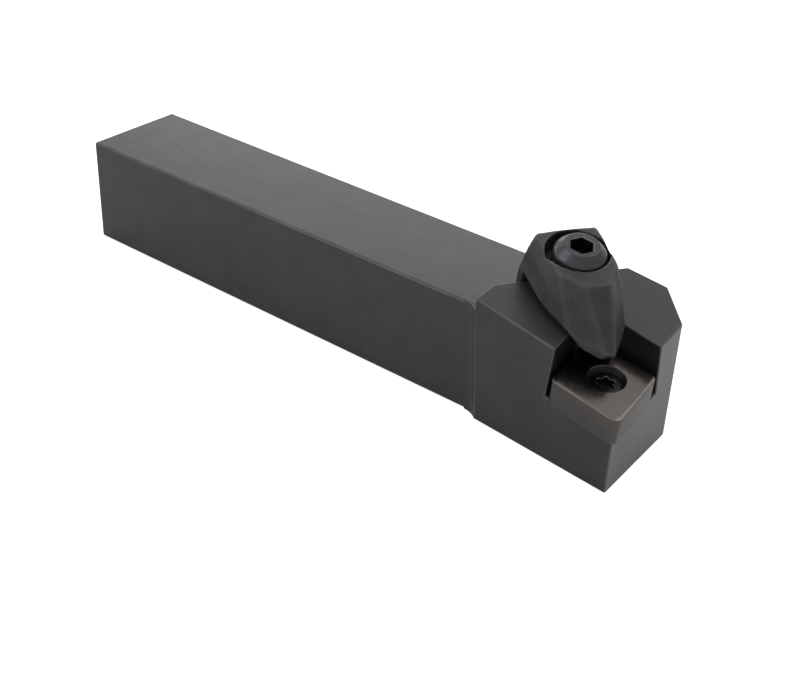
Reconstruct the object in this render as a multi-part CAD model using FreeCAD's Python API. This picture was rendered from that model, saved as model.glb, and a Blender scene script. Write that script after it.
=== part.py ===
import FreeCAD, Part
import math
import os

os.makedirs("parts", exist_ok=True)

V = FreeCAD.Vector

# Sizes of the shank and the working corner, all in millimetres and degrees
SHANK_WIDTH = 25.0
SHANK_HEIGHT = 25.0
TOOL_LENGTH = 149.7
REAR_TO_ORIGIN = 75.0
FUNCTIONAL_WIDTH = 31.8
SHANK_BEVEL = 0.45

# Sizes of the head, measured back from the working corner or out from the shank's sides
HEAD_LENGTH = 36.4
HEAD_REAR_LEAN = 1.9
NEAR_STEP = 1.64
NEAR_FRONT_BACK = 1.6
NEAR_FRONT_IN = 2.0
NEAR_FILLET = 5.0
END_LEAN = 1.0
FAR_STEP = 2.6
FAR_BEVEL = 8.0
FAR_STEP_BACK = 19.8

# Sizes of the seat, the insert that it takes and the shim
SEAT_TILT = 8.45
INSERT_CIRCLE = 15.875
INSERT_CORNER = 80.0
NEAR_APPROACH = 5.6
SHIM_TOP_DROP = 7.11
HEAD_ABOVE_SHIM = 5.24
SHIM_THICKNESS = 5.95
SHIM_INSET = 0.15
SHIM_CORNER_RADIUS = 1.2
SHIM_HOLE_SHIFT = 0.5
SHIM_EDGE_BEVEL = 0.25
WALL_CLEARANCE = 0.05
FAR_RELIEF_DEPTH = 2.0
REAR_RELIEF_DEPTH = 1.0
RELIEF_START = 5.5
CORNER_RELIEF_RADIUS = 1.3

# Sizes of the shim screw
SHIM_SCREW_RADIUS = 2.5
SHIM_SCREW_LENGTH = 11.6
SHIM_HOLE_RADIUS = 2.8
SHIM_SINK_RADIUS = 3.8
SHIM_SINK_HALF_ANGLE = 30.0
SHIM_SCREW_SUNK = 1.1
LOBE_CIRCLE = 1.42
LOBE_RADIUS = 0.52
LOBE_CORE_RADIUS = 1.35
LOBE_DEPTH = 1.5
SEAT_GAP = 0.02
THREAD_GAP = 0.03

# Place of the clamp screw's axis at the top of the clamp, and its lean and turn
AXIS_BACK = 22.77
AXIS_IN = 19.38
AXIS_RISE = 12.0
AXIS_LEAN = 12.0
AXIS_TURN = -34.5

# Sizes of the clamp screw
CLAMP_SCREW_RADIUS = 3.0
CLAMP_SCREW_REACH = 20.5
CLAMP_HOLE_REACH = 23.5
HEAD_RADIUS = 5.5
HEAD_TOP_RADIUS = 3.6
HEAD_DOME = 2.0
SOCKET_FLATS = 5.0
SOCKET_DEPTH = 3.2
SOCKET_TURN = 45.0
POINT_BEVEL = 0.6

# Sizes of the clamp, in its own axes with s towards the nose, t to the side and w up
CLAMP_PLAY_S = -0.45
CLAMP_PLAY_T = 0.30
COUNTERBORE_RADIUS = 6.15
COUNTERBORE_DEPTH = 3.4
CLAMP_BORE_RADIUS = 3.65
CLAMP_THICKNESS = 7.8
CLAMP_REAR = 6.5
NOSE_DROP = 1.7
NOSE_BACK_S = 13.4
NOSE_TOE_S = 16.6
NOSE_HALF_WIDTH = 1.7
NOSE_HIGH_S = 20.9
NOSE_LOW_S = 20.1
REAR_TOP_HALF = 5.9
CREASE_HALF = 7.7
CREASE_DROP = 5.0
SIDE_S = 0.4
SIDE_TOP_HALF = 6.75
SIDE_LOW_HALF = 9.1
SHOULDER_S = 5.8
SHOULDER_HALF = 5.75
BELLY_S = 5.2
BELLY_HALF = 8.4
FRONT_S = 10.3
FRONT_HALF = 2.6
CHEEK_S = 13.85
CHEEK_HALF = 6.0
CHEEK_DRAFT = 1.4
HEEL_REACH = 5.0
HEEL_HALF_WIDTH = 8.6
HEEL_CLEARANCE = 0.15
HEEL_WALL = 4.6
SPRING_POCKET_RADIUS = 4.75
SPRING_POCKET_DEPTH = 2.4

# Sizes of the lift spring
SPRING_RADIUS = 3.65
SPRING_WIRE = 0.7
SPRING_HALF_TURNS = 7
WIRE_SIDES = 8

# Derived places of the working corner
TIP_X = TOOL_LENGTH - REAR_TO_ORIGIN
TIP_Y = SHANK_WIDTH / 2.0 - FUNCTIONAL_WIDTH
SHIM_TOP_Z = SHANK_HEIGHT - SHIM_TOP_DROP
REAR_X = -REAR_TO_ORIGIN
NEAR_Y = -SHANK_WIDTH / 2.0
FAR_Y = SHANK_WIDTH / 2.0
BIG = 90.0

# Axes of the seat and of the clamp screw
SEAT = FreeCAD.Placement(V(TIP_X, TIP_Y, SHIM_TOP_Z), FreeCAD.Rotation(V(1, 1, 0), SEAT_TILT))
TURN = FreeCAD.Rotation(V(0, 0, 1), AXIS_TURN)
LEAN = FreeCAD.Rotation(V(0, 1, 0), AXIS_LEAN)
AXIS_POINT = V(TIP_X - AXIS_BACK, TIP_Y + AXIS_IN, SHANK_HEIGHT + AXIS_RISE)
AXIS = FreeCAD.Placement(AXIS_POINT, TURN.multiply(LEAN))
CLAMP_POINT = AXIS.multVec(V(CLAMP_PLAY_S, -CLAMP_PLAY_T, 0))
CLAMP = FreeCAD.Placement(CLAMP_POINT, AXIS.Rotation)


def placed(shape, placement):
    """Return a copy of the shape moved into the given axes."""
    moved = shape.copy()
    moved.transformShape(placement.toMatrix(), False)
    return moved


def prism(points, low, high):
    """Return the upright prism over plan points between two heights."""
    corners = [V(x, y, low) for x, y in points]
    corners.append(corners[0])
    face = Part.Face(Part.makePolygon(corners))
    return face.extrude(V(0, 0, high - low))


def cylinder(radius, low, high, x=0.0, y=0.0):
    """Return an upright cylinder between two heights."""
    return Part.makeCylinder(radius, high - low, V(x, y, low))


def cone(low_radius, high_radius, low, high, x=0.0, y=0.0):
    """Return an upright cone between two heights."""
    return Part.makeCone(low_radius, high_radius, high - low, V(x, y, low))


def block(x0, x1, y0, y1, z0, z1):
    """Return the box between two corners."""
    return Part.makeBox(x1 - x0, y1 - y0, z1 - z0, V(x0, y0, z0))


def shaved(shape, a, b, c, inside):
    """Return the shape without what lies beyond the plane through three points."""
    normal = (b - a).cross(c - a)
    normal.normalize()
    if (inside - a).dot(normal) > 0:
        normal = normal * -1.0
    slab = block(-BIG, BIG, -BIG, BIG, 0.0, BIG)
    return shape.cut(placed(slab, FreeCAD.Placement(a, FreeCAD.Rotation(V(0, 0, 1), normal))))


def shaved_both(shape, a, b, c, inside):
    """Return the shape shaved on its +t side and in the same way on its other side."""
    result = shaved(shape, a, b, c, inside)
    flip = [V(p.x, -p.y, p.z) for p in (a, b, c)]
    return shaved(result, flip[0], flip[1], flip[2], inside)


# Shank with bevelled long edges and rear end
shank = block(REAR_X, TIP_X - 9.7, NEAR_Y, FAR_Y, 0.0, SHANK_HEIGHT)
outer_edges = []
for edge in shank.Edges:
    middle = edge.CenterOfMass
    if middle.x < TIP_X - 10.0:
        outer_edges.append(edge)
shank = shank.makeChamfer(SHANK_BEVEL, outer_edges)

# Plan of the head, with its back side standing out beyond the shank
head_rear_x = TIP_X - HEAD_LENGTH
near_rear = (head_rear_x + HEAD_REAR_LEAN, NEAR_Y - NEAR_STEP)
near_front = (TIP_X - NEAR_FRONT_BACK, TIP_Y + NEAR_FRONT_IN)
near_slope = (near_front[1] - near_rear[1]) / (near_front[0] - near_rear[0])
far_side = FAR_Y + FAR_STEP
end_far = (near_front[0] - END_LEAN, far_side - FAR_BEVEL)
far_front = (end_far[0] - FAR_BEVEL, far_side)
far_rear = (TIP_X - FAR_STEP_BACK, far_side)
inner_y = NEAR_Y + 0.1
lap_x = near_rear[0] + 4.0
lap = (lap_x, near_rear[1] + near_slope * 4.0)
head_plan = [(head_rear_x, inner_y), (lap_x, inner_y), lap, near_front, end_far, far_front, far_rear]
head_plan.append((far_rear[0] - 2.0, FAR_Y - 0.1))
head_plan.append((head_rear_x, FAR_Y - 0.1))
head = prism(head_plan, 0.0, SHANK_HEIGHT + 8.0)

# Leaning start of the near face, with the concave fillet that leads into it
arc_x = near_rear[0] - math.sqrt(NEAR_FILLET ** 2 - (NEAR_FILLET - NEAR_STEP) ** 2)
arc_y = NEAR_Y - NEAR_FILLET
half = NEAR_FILLET * math.sqrt(0.5)
arc = Part.Arc(V(arc_x, NEAR_Y, 0), V(arc_x + half, arc_y + half, 0), V(arc_x + NEAR_FILLET, arc_y, 0))
outline = [V(arc_x + NEAR_FILLET, arc_y, 0), V(arc_x + 12.0, arc_y, 0), V(arc_x + 12.0, inner_y, 0)]
outline.append(V(arc_x, inner_y, 0))
outline.append(V(arc_x, NEAR_Y, 0))
start_wire = Part.Wire([arc.toShape()] + Part.makePolygon(outline).Edges)
lean_run = HEAD_REAR_LEAN * (SHANK_HEIGHT + 8.0) / (SHANK_HEIGHT + 2.0)
start = Part.Face(start_wire).extrude(V(-lean_run, 0, SHANK_HEIGHT + 8.0))
back_x = arc_x - 6.0
back_near = (back_x, near_rear[1] + near_slope * (back_x - near_rear[0]))
limit = prism([back_near, lap, (lap_x, inner_y), (back_x, inner_y)], 0.0, SHANK_HEIGHT + 8.0)
start = start.common(limit)
above_shank = block(REAR_X, head_rear_x, -BIG, BIG, SHANK_HEIGHT, SHANK_HEIGHT + BIG)
start = start.cut(above_shank)

# Head top parallel to the seat, and the wall that the clamp's heel goes behind
body = shank.fuse([head, start])
head_top = HEAD_ABOVE_SHIM * math.cos(math.radians(SEAT_TILT))
body = body.cut(placed(block(-BIG, BIG, -BIG, BIG, head_top, BIG), SEAT))
behind = placed(block(-BIG, -HEEL_WALL, -BIG, BIG, -BIG, BIG), AXIS)
over = block(-BIG, BIG, -BIG, BIG, SHANK_HEIGHT, SHANK_HEIGHT + BIG)
body = body.cut(behind.common(over))
body = body.removeSplitter()

# Corners of the insert and the shim in plan, in the seat's axes
near_lean = math.radians(NEAR_APPROACH)
end_lean = math.radians(90.0 - INSERT_CORNER - NEAR_APPROACH)
end_dir = V(-math.sin(end_lean), math.cos(end_lean), 0)
near_dir = V(-math.cos(near_lean), math.sin(near_lean), 0)
sine = math.sin(math.radians(INSERT_CORNER))
insert_edge = INSERT_CIRCLE / sine
centre = (end_dir + near_dir) * (insert_edge / 2.0)
shim_scale = (INSERT_CIRCLE - 2.0 * SHIM_INSET) / INSERT_CIRCLE
shim_edge = insert_edge * shim_scale
shim_tip = centre - (end_dir + near_dir) * (shim_edge / 2.0)
across_seat = end_dir - near_dir
across_seat.normalize()
hole = centre + across_seat * SHIM_HOLE_SHIFT

# Pocket with two upright walls, both relieved outside a short land, and a relieved corner
pocket_edge = insert_edge + WALL_CLEARANCE / sine
inner = (end_dir + near_dir) * pocket_edge
wide = 2.5 * INSERT_CIRCLE
pocket_points = [inner, inner - end_dir * wide, inner - (end_dir + near_dir) * wide, inner - near_dir * wide]
pocket = prism([(p.x, p.y) for p in pocket_points], -SHIM_THICKNESS, wide)
far_start = inner - near_dir * RELIEF_START
far_back = far_start + end_dir * (FAR_RELIEF_DEPTH / sine)
far_points = [far_start, far_start - near_dir * wide, far_back - near_dir * wide, far_back]
far_relief = prism([(p.x, p.y) for p in far_points], -SHIM_THICKNESS, wide)
rear_start = inner - end_dir * RELIEF_START
rear_back = rear_start + near_dir * (REAR_RELIEF_DEPTH / sine)
rear_points = [rear_start, rear_start - end_dir * wide, rear_back - end_dir * wide, rear_back]
rear_relief = prism([(p.x, p.y) for p in rear_points], -SHIM_THICKNESS, wide)
corner_relief = cylinder(CORNER_RELIEF_RADIUS, -SHIM_THICKNESS, wide, inner.x + 0.3, inner.y - 0.3)
pocket = pocket.fuse([far_relief, rear_relief, corner_relief])
body = body.cut(placed(pocket, SEAT))

# Tapped holes for the two screws
shim_hole_low = -SHIM_SCREW_SUNK - SHIM_SCREW_LENGTH - 1.6
shim_hole = cylinder(SHIM_SCREW_RADIUS + THREAD_GAP, shim_hole_low, 1.0, hole.x, hole.y)
body = body.cut(placed(shim_hole, SEAT))
clamp_hole = cylinder(CLAMP_SCREW_RADIUS + THREAD_GAP, -CLAMP_HOLE_REACH, 4.0)
body = body.cut(placed(clamp_hole, AXIS))
body.exportStep("parts/holder_body.step")

# Shim: a rounded rhombus with a countersunk hole
shim_points = [shim_tip, shim_tip + end_dir * shim_edge, shim_tip + (end_dir + near_dir) * shim_edge]
shim_points.append(shim_tip + near_dir * shim_edge)
shim = prism([(p.x, p.y) for p in shim_points], -SHIM_THICKNESS, 0.0)
corner_edges = []
for edge in shim.Edges:
    if abs(edge.Vertexes[0].Z - edge.Vertexes[1].Z) > 1.0:
        corner_edges.append(edge)
shim = shim.makeFillet(SHIM_CORNER_RADIUS, corner_edges)
rim_edges = []
for edge in shim.Edges:
    if edge.CenterOfMass.z > -0.01 or edge.CenterOfMass.z < 0.01 - SHIM_THICKNESS:
        rim_edges.append(edge)
shim = shim.makeChamfer(SHIM_EDGE_BEVEL, rim_edges)
sink_tan = math.tan(math.radians(SHIM_SINK_HALF_ANGLE))
sink_depth = (SHIM_SINK_RADIUS - SHIM_HOLE_RADIUS) / sink_tan
shim = shim.cut(cylinder(SHIM_HOLE_RADIUS, -SHIM_THICKNESS - 1.0, 1.0, hole.x, hole.y))
shim = shim.cut(cone(SHIM_HOLE_RADIUS, SHIM_SINK_RADIUS, -sink_depth, 0.0, hole.x, hole.y))
placed(shim, SEAT).exportStep("parts/seat_shim.step")

# Shim screw with a six-lobe recess, sunk in the shim's hole
screw_top = -SHIM_SCREW_SUNK
head_high = SHIM_SINK_RADIUS - SEAT_GAP + screw_top * sink_tan
head_low = (head_high - SHIM_SCREW_RADIUS) / sink_tan
shim_screw = cone(SHIM_SCREW_RADIUS, head_high, screw_top - head_low, screw_top, hole.x, hole.y)
screw_end = screw_top - SHIM_SCREW_LENGTH
stem = cylinder(SHIM_SCREW_RADIUS, screw_end + POINT_BEVEL, screw_top - head_low, hole.x, hole.y)
point_radius = SHIM_SCREW_RADIUS - POINT_BEVEL
point = cone(point_radius, SHIM_SCREW_RADIUS, screw_end, screw_end + POINT_BEVEL, hole.x, hole.y)
shim_screw = shim_screw.fuse([stem, point])
recess = cylinder(LOBE_CORE_RADIUS, screw_top - LOBE_DEPTH, screw_top + 1.0, hole.x, hole.y)
lobes = []
for number in range(6):
    angle = math.radians(60.0 * number)
    lobe_x = hole.x + LOBE_CIRCLE * math.cos(angle)
    lobe_y = hole.y + LOBE_CIRCLE * math.sin(angle)
    lobes.append(cylinder(LOBE_RADIUS, screw_top - LOBE_DEPTH, screw_top + 1.0, lobe_x, lobe_y))
shim_screw = shim_screw.cut(recess.fuse(lobes)).removeSplitter()
placed(shim_screw, SEAT).exportStep("parts/shim_screw.step")

# Named corners of the clamp on its +t side
REAR_TOP = V(-CLAMP_REAR, REAR_TOP_HALF, 0)
REAR_CREASE = V(-CLAMP_REAR, CREASE_HALF, -CREASE_DROP)
REAR_LOW = V(-CLAMP_REAR, HEEL_HALF_WIDTH, -CLAMP_THICKNESS)
SIDE_TOP = V(SIDE_S, SIDE_TOP_HALF, 0)
SIDE_LOW = V(SIDE_S, SIDE_LOW_HALF, -CLAMP_THICKNESS)
SHOULDER = V(SHOULDER_S, SHOULDER_HALF, 0)
BELLY = V(BELLY_S, BELLY_HALF, -CLAMP_THICKNESS)
FRONT_TOP = V(FRONT_S, FRONT_HALF, 0)
CHEEK = V(CHEEK_S, CHEEK_HALF, -CLAMP_THICKNESS)
NOSE_HIGH = V(NOSE_HIGH_S, NOSE_HALF_WIDTH, -CLAMP_THICKNESS)
NOSE_LOW = V(NOSE_LOW_S, NOSE_HALF_WIDTH, -CLAMP_THICKNESS - NOSE_DROP)
CLAMP_CORE = V(0, 0, -CLAMP_THICKNESS / 2.0)
BLANK_LENGTH = NOSE_HIGH_S + NOSE_BACK_S
BLANK_HALF = 2.0 * HEEL_HALF_WIDTH


def clamp_facets(shape):
    """Return the shape with the facets that the clamp's block and nose share."""
    result = shaved_both(shape, SHOULDER, BELLY, CHEEK, CLAMP_CORE)
    result = shaved_both(result, SHOULDER, FRONT_TOP, CHEEK, CLAMP_CORE)
    across = V(FRONT_TOP.x, -FRONT_TOP.y, FRONT_TOP.z)
    result = shaved(result, FRONT_TOP, across, NOSE_HIGH, CLAMP_CORE)
    across = V(NOSE_HIGH.x, -NOSE_HIGH.y, NOSE_HIGH.z)
    result = shaved(result, NOSE_HIGH, across, NOSE_LOW, CLAMP_CORE)
    steep = V(CHEEK.x, CHEEK.y - CHEEK_DRAFT, 0)
    return shaved_both(result, CHEEK, NOSE_LOW, steep, CLAMP_CORE)


# Clamp block, faceted on both sides and falling to the nose
clamp = block(-CLAMP_REAR, BLANK_LENGTH, -BLANK_HALF, BLANK_HALF, -CLAMP_THICKNESS, 0.0)
clamp = shaved_both(clamp, REAR_TOP, SIDE_TOP, REAR_CREASE, CLAMP_CORE)
clamp = shaved_both(clamp, SIDE_TOP, SHOULDER, SIDE_LOW, CLAMP_CORE)
clamp = shaved_both(clamp, REAR_LOW, REAR_CREASE, BELLY, CLAMP_CORE)
clamp = clamp_facets(clamp)

# Nose below the block, with the sloping back that pulls the insert to the walls
nose_low = -CLAMP_THICKNESS - NOSE_DROP
nose_root = -CLAMP_THICKNESS + NOSE_DROP / 3.0
nose_side = [(NOSE_BACK_S, nose_root), (NOSE_BACK_S, -CLAMP_THICKNESS), (NOSE_TOE_S, nose_low)]
nose_side.append((BLANK_LENGTH, nose_low))
nose_side.append((BLANK_LENGTH, nose_root))
nose_wire = [V(s, -BLANK_HALF, w) for s, w in nose_side]
nose_wire.append(nose_wire[0])
nose = Part.Face(Part.makePolygon(nose_wire)).extrude(V(0, 2.0 * BLANK_HALF, 0))
nose = clamp_facets(nose)

# Heel behind the head's wall
heel_front = -(HEEL_WALL + HEEL_CLEARANCE) - CLAMP_PLAY_S
heel_low = -CLAMP_THICKNESS - HEEL_REACH
heel = block(-CLAMP_REAR, heel_front, -HEEL_HALF_WIDTH, HEEL_HALF_WIDTH, heel_low, -CLAMP_THICKNESS + 0.01)
clamp = clamp.fuse([nose, heel]).removeSplitter()

# Counterbore, bore and spring pocket of the clamp
pocket_top = SPRING_POCKET_DEPTH - CLAMP_THICKNESS
clamp = clamp.cut(cylinder(COUNTERBORE_RADIUS, -COUNTERBORE_DEPTH, 2.0))
clamp = clamp.cut(cylinder(CLAMP_BORE_RADIUS, -BIG, 2.0))
clamp = clamp.cut(cylinder(SPRING_POCKET_RADIUS, -BIG, pocket_top))
placed(clamp, CLAMP).exportStep("parts/clamp.step")

# Clamp screw: domed head with a hexagon socket, turned about its own axis
seat_w = SEAT_GAP - COUNTERBORE_DEPTH
point_w = -CLAMP_SCREW_REACH
dome_mid = V((HEAD_RADIUS + HEAD_TOP_RADIUS) / 2.0 + 0.22, 0, HEAD_DOME / 2.0 + 0.2)
profile = [V(0, 0, HEAD_DOME), V(HEAD_TOP_RADIUS, 0, HEAD_DOME)]
dome = Part.Arc(V(HEAD_TOP_RADIUS, 0, HEAD_DOME), dome_mid, V(HEAD_RADIUS, 0, 0))
lower = [V(HEAD_RADIUS, 0, 0), V(HEAD_RADIUS, 0, seat_w), V(CLAMP_SCREW_RADIUS, 0, seat_w)]
lower.append(V(CLAMP_SCREW_RADIUS, 0, point_w + POINT_BEVEL))
lower.append(V(CLAMP_SCREW_RADIUS - POINT_BEVEL, 0, point_w))
lower.append(V(0, 0, point_w))
lower.append(V(0, 0, HEAD_DOME))
edges = Part.makePolygon(profile).Edges + [dome.toShape()] + Part.makePolygon(lower).Edges
turned = Part.Face(Part.Wire(edges)).revolve(V(0, 0, 0), V(0, 0, 1), 360.0)
corner = SOCKET_FLATS / math.sqrt(3.0)
hexagon = []
for number in range(6):
    angle = math.radians(60.0 * number + SOCKET_TURN)
    hexagon.append((corner * math.cos(angle), corner * math.sin(angle)))
socket = prism(hexagon, HEAD_DOME - SOCKET_DEPTH, HEAD_DOME + 1.0)
clamp_screw = turned.cut(socket)
placed(clamp_screw, AXIS).exportStep("parts/clamp_screw.step")

# Lift spring between the head's top and the clamp's pocket
seat_normal = SEAT.Rotation.multVec(V(0, 0, 1))
axis_up = AXIS.Rotation.multVec(V(0, 0, 1))
top_point = SEAT.multVec(V(0, 0, head_top))
axis_w = (top_point - AXIS_POINT).dot(seat_normal) / axis_up.dot(seat_normal)
tilt_between = math.acos(min(1.0, axis_up.dot(seat_normal)))
spring_low = axis_w + (SPRING_RADIUS + SPRING_WIRE / 2.0) * math.tan(tilt_between) + 0.03
spring_high = pocket_top - 0.03
coil_height = spring_high - spring_low - SPRING_WIRE
rise = coil_height / SPRING_HALF_TURNS
arc_radius = math.sqrt(SPRING_RADIUS ** 2 + (rise / 2.0) ** 2)
slope = math.degrees(math.atan2(rise / 2.0, SPRING_RADIUS))
section = []
for number in range(WIRE_SIDES + 1):
    angle = math.radians(360.0 * number / WIRE_SIDES)
    section.append(V(arc_radius + SPRING_WIRE / 2.0 * math.cos(angle), 0, SPRING_WIRE / 2.0 * math.sin(angle)))
coil_parts = []
for number in range(SPRING_HALF_TURNS):
    half_ring = Part.Face(Part.makePolygon(section)).revolve(V(0, 0, 0), V(0, 0, 1), 180.0)
    half_ring.rotate(V(0, 0, 0), V(0, 1, 0), slope)
    half_ring.rotate(V(0, 0, 0), V(0, 0, 1), 180.0 * number)
    half_ring.translate(V(0, 0, spring_low + SPRING_WIRE / 2.0 + rise * (number + 0.5)))
    coil_parts.append(half_ring)
coil = coil_parts[0].fuse(coil_parts[1:])
placed(coil, AXIS).exportStep("parts/lift_spring.step")
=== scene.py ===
"""Looks of a lathe turning tool holder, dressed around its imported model.

Every length is in metres in the model's own frame: +X towards the cutting end, -Y towards the
cutting side, +Z up, with the shank's underside on the floor at z = 0.
"""
import logging
import math
from dataclasses import dataclass
from enum import Enum

import bmesh
import bpy
import numpy as np
from mathutils import Matrix, Vector


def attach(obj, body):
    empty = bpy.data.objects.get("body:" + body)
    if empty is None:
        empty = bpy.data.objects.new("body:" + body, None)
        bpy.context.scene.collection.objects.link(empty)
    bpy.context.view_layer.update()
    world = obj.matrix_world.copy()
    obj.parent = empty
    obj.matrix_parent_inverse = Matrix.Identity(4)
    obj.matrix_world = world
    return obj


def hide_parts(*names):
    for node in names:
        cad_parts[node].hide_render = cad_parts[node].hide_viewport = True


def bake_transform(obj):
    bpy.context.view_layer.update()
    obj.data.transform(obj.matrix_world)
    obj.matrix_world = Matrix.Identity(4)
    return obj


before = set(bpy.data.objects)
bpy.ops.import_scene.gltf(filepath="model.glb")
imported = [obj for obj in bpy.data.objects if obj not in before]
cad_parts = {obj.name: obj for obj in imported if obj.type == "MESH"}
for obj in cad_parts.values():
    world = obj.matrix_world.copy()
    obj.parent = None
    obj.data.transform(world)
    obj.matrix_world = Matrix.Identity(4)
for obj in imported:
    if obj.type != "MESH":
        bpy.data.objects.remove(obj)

MM = 0.001
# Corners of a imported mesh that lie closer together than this, in metres, are one corner
SAME_CORNER = 2e-6
# Faces that meet at no less than this, in degrees, keep a sharp edge between them
SHAPED_SHARP = 32.0
PACKED_SHARP = 40.0
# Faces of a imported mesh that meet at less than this, in degrees, are one flat face
FLAT_BELOW = 0.4
LOG = logging.getLogger("tool_holder")


# Axes that the seat and the clamp screw use

def turned(axis: tuple[float, float, float], degrees: float) -> np.ndarray:
    """Give the matrix of a turn about an axis.

    Formula: cos times the identity, plus sin times the cross matrix of the unit axis, plus
    (1 - cos) times the axis times itself.

    Args:
        axis: direction to turn about, of any length.
        degrees: angle, counterclockwise as seen against the axis.

    Returns:
        A 3 by 3 rotation matrix whose columns are the turned axes.
    """
    a = np.array(axis, float) / np.linalg.norm(axis)
    cross = np.array([[0, -a[2], a[1]], [a[2], 0, -a[0]], [-a[1], a[0], 0]])
    t = math.radians(degrees)
    return math.cos(t) * np.eye(3) + math.sin(t) * cross + (1 - math.cos(t)) * np.outer(a, a)


@dataclass(frozen=True)
class Axes:
    """A local set of axes: an origin in millimetres of the model's frame, and a rotation."""

    origin: tuple[float, float, float]
    turn: np.ndarray

    def out(self, points: np.ndarray) -> np.ndarray:
        """Carry local millimetre points, in the last axis of an array, to model metres."""
        return (np.asarray(points, float) @ self.turn.T + np.array(self.origin)) * MM

    def inward(self, points: np.ndarray) -> np.ndarray:
        """Carry model metres, one point to a row, to local millimetres."""
        return (points / MM - np.array(self.origin)) @ self.turn

    def along(self, s: float, t: float, w: float) -> "Axes":
        """Give the same axes with their origin moved by local millimetres."""
        moved = self.turn @ np.array([s, t, w]) + np.array(self.origin)
        return Axes(tuple(moved), self.turn)


SEAT_AXES = Axes((74.7, -19.3, 17.89), turned((1, 1, 0), 8.45))
SCREW_AXES = Axes((51.93, 0.08, 37.0), turned((0, 0, 1), -34.5) @ turned((0, 1, 0), 12.0))
CLAMP_AXES = SCREW_AXES.along(-0.45, -0.30, 0.0)


# Colour, node and mesh helpers

def linear(code: str) -> tuple[float, float, float, float]:
    """Turn an sRGB hex colour to linear light.

    Args:
        code: six hex digits, with or without a leading mark.

    Returns:
        Linear red, green and blue, and an alpha of 1.
    """
    values = [int(code.lstrip("#")[i:i + 2], 16) / 255 for i in (0, 2, 4)]
    light = [v / 12.92 if v <= 0.04045 else ((v + 0.055) / 1.055) ** 2.4 for v in values]
    return (*light, 1.0)


def add_node(tree: bpy.types.NodeTree, kind: str, settings: dict | None = None,
             values: dict | None = None, links: dict | None = None) -> bpy.types.Node:
    """Add a shader node with its settings, fixed values and links.

    Args:
        tree: node tree to add to.
        kind: Blender's name of the node type.
        settings: attributes of the node itself.
        values: fixed input values, by socket name or number.
        links: output sockets to link in, by input socket name or number.

    Returns:
        The new node.
    """
    made = tree.nodes.new(kind)
    for name, value in (settings or {}).items():
        setattr(made, name, value)
    for name, value in (values or {}).items():
        made.inputs[name].default_value = value
    for name, source in (links or {}).items():
        tree.links.new(source, made.inputs[name])
    return made


def add_noise(tree: bpy.types.NodeTree, place: bpy.types.NodeSocket, size_mm: float,
              detail: float, roughness: float) -> bpy.types.NodeSocket:
    """Add noise of a real size.

    Args:
        tree: node tree to add to.
        place: output socket with the coordinates, in metres.
        size_mm: how large its coarsest spots are.
        detail: how many finer layers it has.
        roughness: how strong each finer layer is beside the one before.

    Returns:
        The output socket with the noise.
    """
    values = {"Scale": 1 / (size_mm * MM), "Detail": detail, "Roughness": roughness}
    return add_node(tree, "ShaderNodeTexNoise", values=values,
                    links={"Vector": place}).outputs["Fac"]


def add_range(tree: bpy.types.NodeTree, source: bpy.types.NodeSocket, low: float, high: float,
              to_low: float = 0.0, to_high: float = 1.0) -> bpy.types.NodeSocket:
    """Add a change of range, evenly from one to the other and held at its ends.

    Args:
        tree: node tree to add to.
        source: output socket with the value to change.
        low: value that gives to_low.
        high: value that gives to_high.
        to_low: result at the low end.
        to_high: result at the high end.

    Returns:
        The output socket with the result.
    """
    values = {"From Min": low, "From Max": high, "To Min": to_low, "To Max": to_high}
    return add_node(tree, "ShaderNodeMapRange", values=values,
                    links={"Value": source}).outputs["Result"]


def grid_faces(rings: int, across: int, poles: bool) -> list:
    """List the faces of rings of points joined into a tube.

    Formula: the quad at ring i and column j joins points (i, j), (i, j+1), (i+1, j+1) and
    (i+1, j), with the last column next to the first. The poles are two more points after the
    rings: the first closes the first ring, and the second the last.

    Args:
        rings: how many rings.
        across: how many points on each.
        poles: whether a point closes each end.

    Returns:
        Index lists for from_pydata.
    """
    i, j = np.meshgrid(np.arange(rings - 1), np.arange(across), indexing="ij")
    k = (j + 1) % across
    quads = np.stack([i * across + j, i * across + k, (i + 1) * across + k,
                      (i + 1) * across + j], -1)
    faces = quads.reshape(-1, 4).tolist()
    if poles:
        column = np.arange(across)
        following = (column + 1) % across
        pole, last = rings * across, (rings - 1) * across
        faces += np.stack([np.full(across, pole), following, column], -1).tolist()
        faces += np.stack([np.full(across, pole + 1), last + column, last + following],
                          -1).tolist()
    return faces


def solid_from_rings(name: str, rings: np.ndarray, poles: bool = True) -> bpy.types.Object:
    """Make a closed mesh object from rings of points.

    Args:
        name: name of the object.
        rings: points as rings by columns by three, in metres.
        poles: True closes both ends at their middle, False joins the last ring to the first.

    Returns:
        The object, with its faces outwards and its place in its mesh.
    """
    count, across = rings.shape[:2]
    points = rings.reshape(-1, 3)
    if poles:
        points = np.vstack([points, rings[0].mean(0), rings[-1].mean(0)])
        faces = grid_faces(count, across, True)
    else:
        faces = (np.array(grid_faces(count + 1, across, False)) % len(points)).tolist()
    mesh = bpy.data.meshes.new(name)
    mesh.from_pydata(points.tolist(), [], faces)
    return finished_object(name, mesh)


def finished_object(name: str, mesh: bpy.types.Mesh) -> bpy.types.Object:
    """Make an object of the mesh, with its faces turned outwards.

    Args:
        name: name of the object.
        mesh: closed mesh, which is changed.

    Returns:
        The linked object, shaded smooth where its faces meet at less than SHAPED_SHARP degrees.
    """
    work = bmesh.new()
    work.from_mesh(mesh)
    bmesh.ops.recalc_face_normals(work, faces=work.faces)
    work.to_mesh(mesh)
    work.free()
    mesh.shade_smooth()
    mesh.set_sharp_from_angle(angle=math.radians(SHAPED_SHARP))
    made = bpy.data.objects.new(name, mesh)
    bpy.context.scene.collection.objects.link(made)
    return made


# Finishes

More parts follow.
